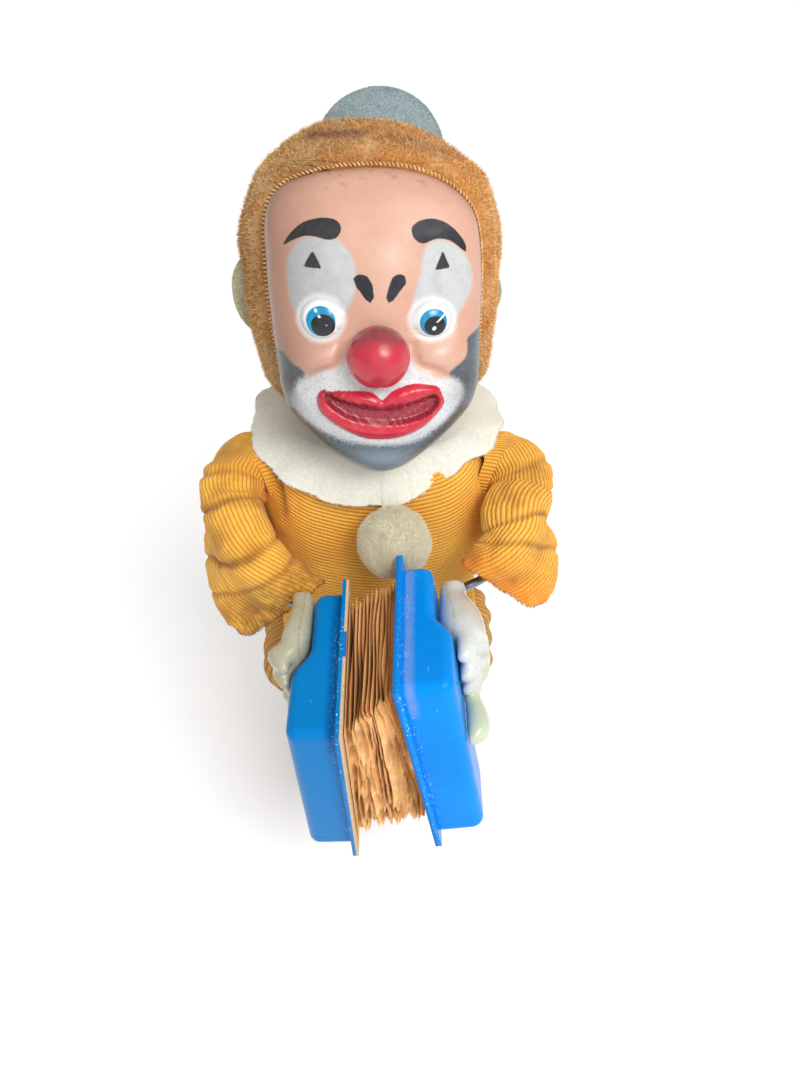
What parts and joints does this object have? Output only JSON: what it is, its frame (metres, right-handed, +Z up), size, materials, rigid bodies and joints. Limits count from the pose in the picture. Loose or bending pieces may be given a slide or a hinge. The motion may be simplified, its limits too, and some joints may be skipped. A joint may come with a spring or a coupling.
{
  "type": "clown automaton",
  "caption": "Wind-up clown figure with an accordion: a key-wound clockwork nods the head while both arms draw the bellows open and shut.",
  "frame": {"origin": "centre of the whole figure's footprint, on the floor it stands on", "axes": "+Z up, the clown faces -Y, +X is the clown's own left"},
  "size_m": [0.1254, 0.1699, 0.2612],
  "materials": {
    "shoe": "glossy",
    "leg_tin": "satin",
    "tin": "satin",
    "steel": "brushed",
    "brass": "brushed",
    "zinc": "satin",
    "corduroy": "ribbed pile",
    "trouser_cloth": "ribbed pile",
    "felt": "felt",
    "ear_felt": "felt",
    "pompom": "fuzzy",
    "plush": "short pile",
    "hat_flock": "flocked",
    "vinyl_face": "satin",
    "nose_ball": "glossy",
    "hand_plastic": "glossy",
    "blue_plastic": "glossy",
    "card": "matte",
    "paper": "matte",
    "head_plastic": "satin"
  },
  "bodies": {
    "chassis": {"shoe_left": "shoe", "shoe_right": "shoe", "leg_left": "leg_tin", "leg_right": "leg_tin", "hip_plate": "tin", "body_shell_front": "tin", "body_shell_back": "tin", "shell_screws": "steel", "jacket": "corduroy", "trousers": "trouser_cloth", "collar": "felt", "pompom": "pompom", "front_plate": "steel", "back_plate": "steel", "frame_pillars": "steel", "frame_screws": "steel", "frame_studs": "steel", "spring_post": "steel", "mainspring": "steel", "shoulder_pins": "steel", "neck_bracket": "zinc", "neck_pin": "steel", "bellows": "paper"},
    "great_wheel": {"great_wheel": "brass", "click_rivet": "steel", "click_spring": "steel"},
    "winding_arbor": {"winding_key": "zinc", "winding_arbor": "steel", "ratchet_wheel": "steel"},
    "click": {"click_pawl": "steel"},
    "second_arbor": {"second_arbor": "steel", "second_wheel": "brass"},
    "crank_arbor": {"crank_arbor": "steel", "crank_wheel": "brass", "crank_disc": "steel"},
    "fly": {"fly_arbor": "steel", "fly_fan": "steel"},
    "lift": {"lift_yoke": "zinc"},
    "stop": {"stop_lever": "steel"},
    "arm_left": {"arm_lever_left": "zinc", "arm_rod_left": "steel", "sleeve_left": "corduroy", "hand_left": "hand_plastic", "accordion_shell_left": "blue_plastic", "end_card_left": "card"},
    "arm_right": {"arm_lever_right": "zinc", "arm_rod_right": "steel", "sleeve_right": "corduroy", "hand_right": "hand_plastic", "accordion_shell_right": "blue_plastic", "end_card_right": "card"},
    "neck": {"neck_rocker": "zinc"},
    "head": {"head_core": "head_plastic", "face": "vinyl_face", "nose": "nose_ball", "hood": "plush", "hat": "hat_flock", "ear_left": "ear_felt", "ear_right": "ear_felt"}
  },
  "joints": [
    {"name": "great_wheel_spin", "type": "hinge", "parent": "chassis", "child": "great_wheel", "pos_m": [0, 0.0278, 0.078], "axis": [0, 1, 0], "continuous": true},
    {"name": "winding", "type": "hinge", "parent": "great_wheel", "child": "winding_arbor", "pos_m": [0, 0.0278, 0.078], "axis": [0, 1, 0], "continuous": true},
    {"name": "click_lift", "type": "hinge", "parent": "great_wheel", "child": "click", "pos_m": [-0.009, 0.0278, 0.0855], "axis": [0, -1, 0], "range_deg": [0, 10], "stiffness_Nm_per_rad": 0.001, "deforming": ["click_spring"]},
    {"name": "second_spin", "type": "hinge", "parent": "chassis", "child": "second_arbor", "pos_m": [0.008, 0.0278, 0.09742], "axis": [0, 1, 0], "continuous": true},
    {"name": "crank_spin", "type": "hinge", "parent": "chassis", "child": "crank_arbor", "pos_m": [0, 0.0278, 0.10939], "axis": [0, 1, 0], "continuous": true},
    {"name": "fly_spin", "type": "hinge", "parent": "chassis", "child": "fly", "pos_m": [-0.009, 0.0278, 0.11877], "axis": [0, 1, 0], "continuous": true},
    {"name": "lift_slide", "type": "slide", "parent": "chassis", "child": "lift", "axis": [0, 0, 1], "range_m": [-0.0016, 0.0008]},
    {"name": "arm_left_swing", "type": "hinge", "parent": "chassis", "child": "arm_left", "pos_m": [0.026, 0.0278, 0.148], "axis": [0, 1, 0], "range_deg": [-7.7, 3.9], "deforming": ["bellows"]},
    {"name": "arm_right_swing", "type": "hinge", "parent": "chassis", "child": "arm_right", "pos_m": [-0.026, 0.0278, 0.148], "axis": [0, 1, 0], "range_deg": [-3.9, 7.7], "deforming": ["bellows"]},
    {"name": "head_nod", "type": "hinge", "parent": "chassis", "child": "neck", "pos_m": [0, 0.0318, 0.166], "axis": [1, 0, 0], "range_deg": [-2.7, 5.4]},
    {"name": "head_turn", "type": "hinge", "parent": "neck", "child": "head", "pos_m": [0, 0.0318, 0.166], "axis": [-0.0144, 0.3302, 0.9438], "range_deg": [-10, 10]},
    {"name": "stop_swing", "type": "hinge", "parent": "chassis", "child": "stop", "pos_m": [-0.018, 0.0278, 0.1], "axis": [0, 1, 0], "range_deg": [0, 12]}
  ],
  "couplings": [
    {"joint": "second_spin", "follows": "great_wheel_spin", "ratio": -4},
    {"joint": "crank_spin", "follows": "great_wheel_spin", "ratio": 12},
    {"joint": "fly_spin", "follows": "great_wheel_spin", "ratio": -40},
    {"joint": "arm_left_swing", "follows": "lift_slide", "rad_per_m": 83.333},
    {"joint": "arm_right_swing", "follows": "lift_slide", "rad_per_m": -83.333},
    {"joint": "head_nod", "follows": "lift_slide", "rad_per_m": -57.47}
  ]
}
